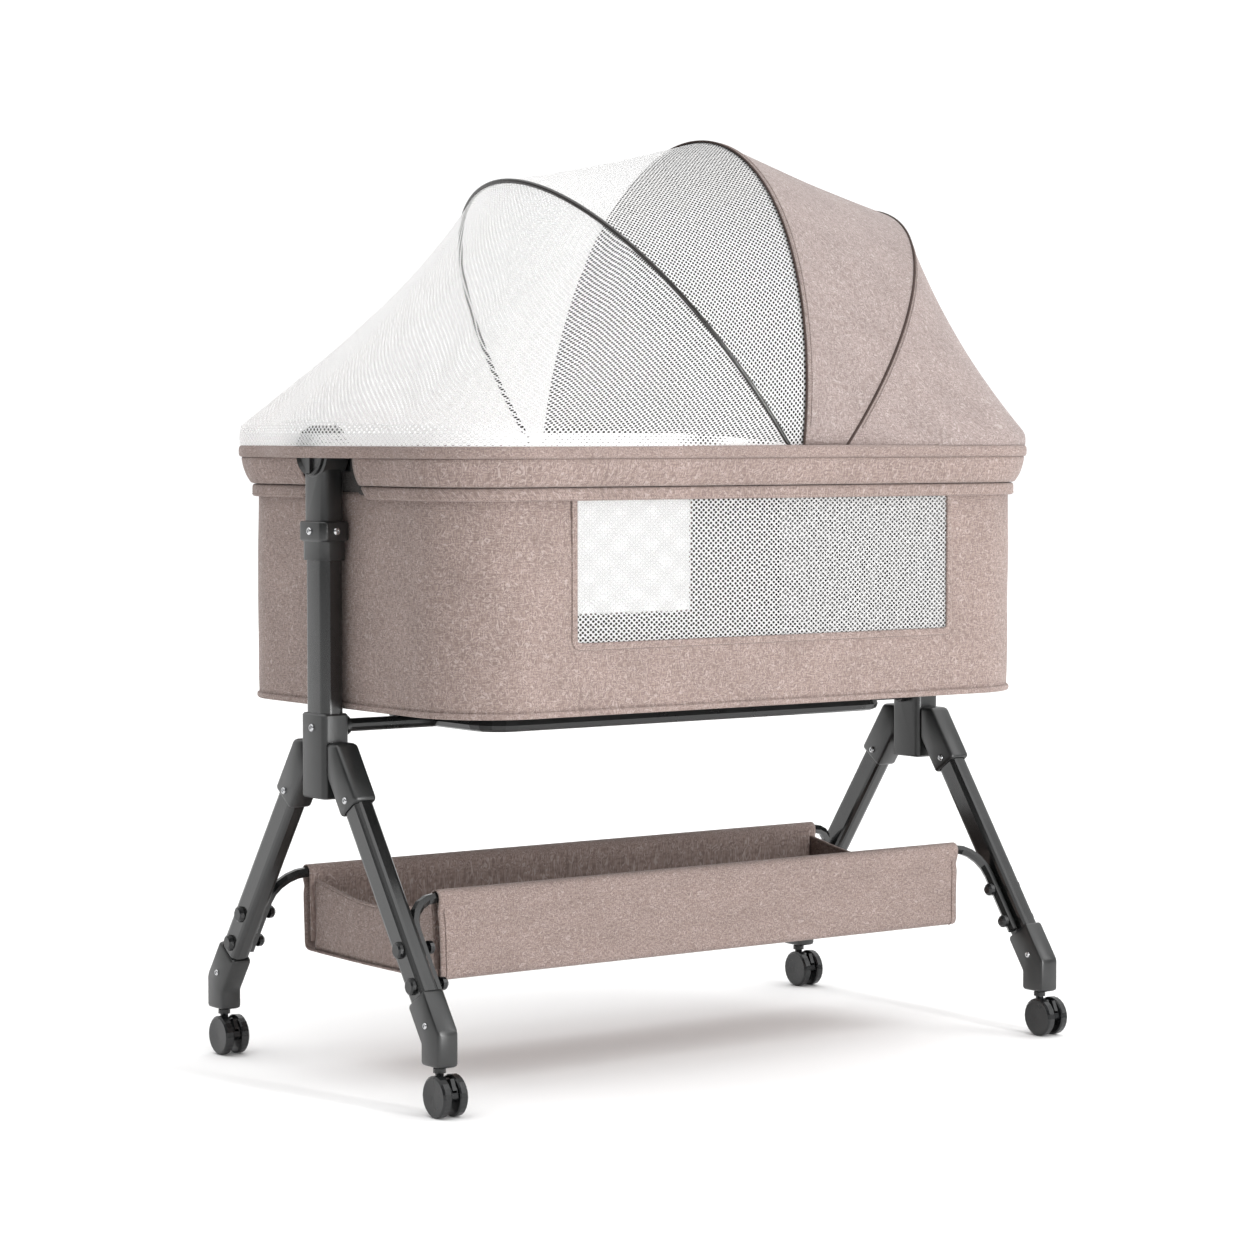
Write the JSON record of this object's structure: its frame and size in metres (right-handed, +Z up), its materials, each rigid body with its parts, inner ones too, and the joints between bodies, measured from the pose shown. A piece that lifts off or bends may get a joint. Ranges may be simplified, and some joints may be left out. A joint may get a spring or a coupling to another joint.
{
  "type": "bassinet on stand",
  "caption": "Bedside cradle: a cloth basket with mesh windows, folding hood and net canopy, pivoted on a height-adjustable caster stand with a storage tray.",
  "frame": {"origin": "on the floor under the middle of the object's bounding box, which is also midway between the two uprights", "axes": "+Z up; +X along the bassinet towards its hood end; +Y across it, away from the front side"},
  "size_m": [0.9654, 0.576, 1.1313],
  "materials": {
    "coated_steel": "satin dark grey powder coat on steel tube",
    "moulded_plastic": "dark grey moulded nylon, fine matt grain",
    "caster_plastic": "black moulded caster plastic, smooth",
    "melange_fabric": "taupe melange woven cloth over thin foam",
    "white_net": "white warp-knitted net",
    "board": "stiff floor board",
    "mattress_cover": "off-white padded mattress cover",
    "hoop_steel": "sprung rod in dark binding"
  },
  "bodies": {
    "stand": {"hub_left": "moulded_plastic", "post_left": "coated_steel", "leg_left_front": "coated_steel", "leg_socket_left_front": "moulded_plastic", "foot_left_front": "moulded_plastic", "tray_bolt_left_front_upper": "moulded_plastic", "tray_bolt_left_front_lower": "moulded_plastic", "leg_left_back": "coated_steel", "leg_socket_left_back": "moulded_plastic", "foot_left_back": "moulded_plastic", "tray_bolt_left_back_upper": "moulded_plastic", "tray_bolt_left_back_lower": "moulded_plastic", "hub_right": "moulded_plastic", "post_right": "coated_steel", "leg_right_front": "coated_steel", "leg_socket_right_front": "moulded_plastic", "foot_right_front": "moulded_plastic", "tray_bolt_right_front_upper": "moulded_plastic", "tray_bolt_right_front_lower": "moulded_plastic", "leg_right_back": "coated_steel", "leg_socket_right_back": "moulded_plastic", "foot_right_back": "moulded_plastic", "tray_bolt_right_back_upper": "moulded_plastic", "tray_bolt_right_back_lower": "moulded_plastic", "cross_frame": "coated_steel", "tray_rail_front": "coated_steel", "tray_rail_back": "coated_steel", "storage_tray": "melange_fabric"},
    "carriage": {"inner_tube_left": "coated_steel", "inner_tube_right": "coated_steel", "yoke_left": "moulded_plastic", "yoke_right": "moulded_plastic"},
    "basket": {"rim_frame": "coated_steel", "rim_cover": "melange_fabric", "basket_body": "melange_fabric", "floor_board": "board", "mattress": "mattress_cover", "rear_hoop": "hoop_steel", "hood_rear_panel": "melange_fabric"},
    "hood": {"hood_hoop": "hoop_steel", "hood_front_panel": "melange_fabric"},
    "net": {"net_hoop": "hoop_steel", "net_middle_panel": "white_net", "net_end_panel": "white_net"},
    "lock_knob_left": {"lock_knob_left": "moulded_plastic"},
    "height_button_left": {"height_button_left": "moulded_plastic"},
    "caster_left_front": {"caster_housing_left_front": "caster_plastic"},
    "wheels_left_front": {"caster_wheels_left_front": "caster_plastic"},
    "brake_left_front": {"brake_lever_left_front": "caster_plastic"},
    "caster_left_back": {"caster_housing_left_back": "caster_plastic"},
    "wheels_left_back": {"caster_wheels_left_back": "caster_plastic"},
    "brake_left_back": {"brake_lever_left_back": "caster_plastic"},
    "lock_knob_right": {"lock_knob_right": "moulded_plastic"},
    "height_button_right": {"height_button_right": "moulded_plastic"},
    "caster_right_front": {"caster_housing_right_front": "caster_plastic"},
    "wheels_right_front": {"caster_wheels_right_front": "caster_plastic"},
    "brake_right_front": {"brake_lever_right_front": "caster_plastic"},
    "caster_right_back": {"caster_housing_right_back": "caster_plastic"},
    "wheels_right_back": {"caster_wheels_right_back": "caster_plastic"},
    "brake_right_back": {"brake_lever_right_back": "caster_plastic"}
  },
  "joints": [
    {"name": "height_slide", "type": "slide", "parent": "stand", "child": "carriage", "axis": [0, 0, 1], "range_m": [0, 0.1]},
    {"name": "basket_rock", "type": "hinge", "parent": "carriage", "child": "basket", "pos_m": [0, 0, 0.744], "axis": [1, 0, 0], "range_deg": [-4, 4]},
    {"name": "hood_fold", "type": "hinge", "parent": "basket", "child": "hood", "pos_m": [0.053, 0, 0.72], "axis": [0, 1, 0], "range_deg": [0, 27], "deforming": ["hood_front_panel"]},
    {"name": "net_fold", "type": "hinge", "parent": "hood", "child": "net", "pos_m": [0.053, 0, 0.72], "axis": [0, 1, 0], "range_deg": [0, 32], "deforming": ["net_middle_panel", "net_end_panel"]},
    {"name": "lock_knob_left_turn", "type": "hinge", "parent": "carriage", "child": "lock_knob_left", "pos_m": [-0.4714, 0, 0.744], "axis": [-1, 0, 0], "range_deg": [0, 90]},
    {"name": "height_button_left_press", "type": "slide", "parent": "carriage", "child": "height_button_left", "axis": [0, -1, 0], "range_m": [0, 0.003], "stiffness_N_per_m": 300},
    {"name": "swivel_left_front", "type": "hinge", "parent": "stand", "child": "caster_left_front", "pos_m": [-0.455, -0.246, 0.055], "axis": [0, 0, 1], "continuous": true},
    {"name": "roll_left_front", "type": "hinge", "parent": "caster_left_front", "child": "wheels_left_front", "pos_m": [-0.455, -0.258, 0.024], "axis": [1, 0, 0], "continuous": true},
    {"name": "brake_left_front_press", "type": "hinge", "parent": "caster_left_front", "child": "brake_left_front", "pos_m": [-0.455, -0.268, 0.039], "axis": [1, 0, 0], "range_deg": [0, 12]},
    {"name": "swivel_left_back", "type": "hinge", "parent": "stand", "child": "caster_left_back", "pos_m": [-0.455, 0.246, 0.055], "axis": [0, 0, 1], "continuous": true},
    {"name": "roll_left_back", "type": "hinge", "parent": "caster_left_back", "child": "wheels_left_back", "pos_m": [-0.455, 0.234, 0.024], "axis": [1, 0, 0], "continuous": true},
    {"name": "brake_left_back_press", "type": "hinge", "parent": "caster_left_back", "child": "brake_left_back", "pos_m": [-0.455, 0.224, 0.039], "axis": [1, 0, 0], "range_deg": [0, 12]},
    {"name": "lock_knob_right_turn", "type": "hinge", "parent": "carriage", "child": "lock_knob_right", "pos_m": [0.4714, 0, 0.744], "axis": [1, 0, 0], "range_deg": [0, 90]},
    {"name": "height_button_right_press", "type": "slide", "parent": "carriage", "child": "height_button_right", "axis": [0, 1, 0], "range_m": [0, 0.003], "stiffness_N_per_m": 300},
    {"name": "swivel_right_front", "type": "hinge", "parent": "stand", "child": "caster_right_front", "pos_m": [0.455, -0.246, 0.055], "axis": [0, 0, 1], "continuous": true},
    {"name": "roll_right_front", "type": "hinge", "parent": "caster_right_front", "child": "wheels_right_front", "pos_m": [0.455, -0.258, 0.024], "axis": [1, 0, 0], "continuous": true},
    {"name": "brake_right_front_press", "type": "hinge", "parent": "caster_right_front", "child": "brake_right_front", "pos_m": [0.455, -0.268, 0.039], "axis": [1, 0, 0], "range_deg": [0, 12]},
    {"name": "swivel_right_back", "type": "hinge", "parent": "stand", "child": "caster_right_back", "pos_m": [0.455, 0.246, 0.055], "axis": [0, 0, 1], "continuous": true},
    {"name": "roll_right_back", "type": "hinge", "parent": "caster_right_back", "child": "wheels_right_back", "pos_m": [0.455, 0.234, 0.024], "axis": [1, 0, 0], "continuous": true},
    {"name": "brake_right_back_press", "type": "hinge", "parent": "caster_right_back", "child": "brake_right_back", "pos_m": [0.455, 0.224, 0.039], "axis": [1, 0, 0], "range_deg": [0, 12]}
  ]
}
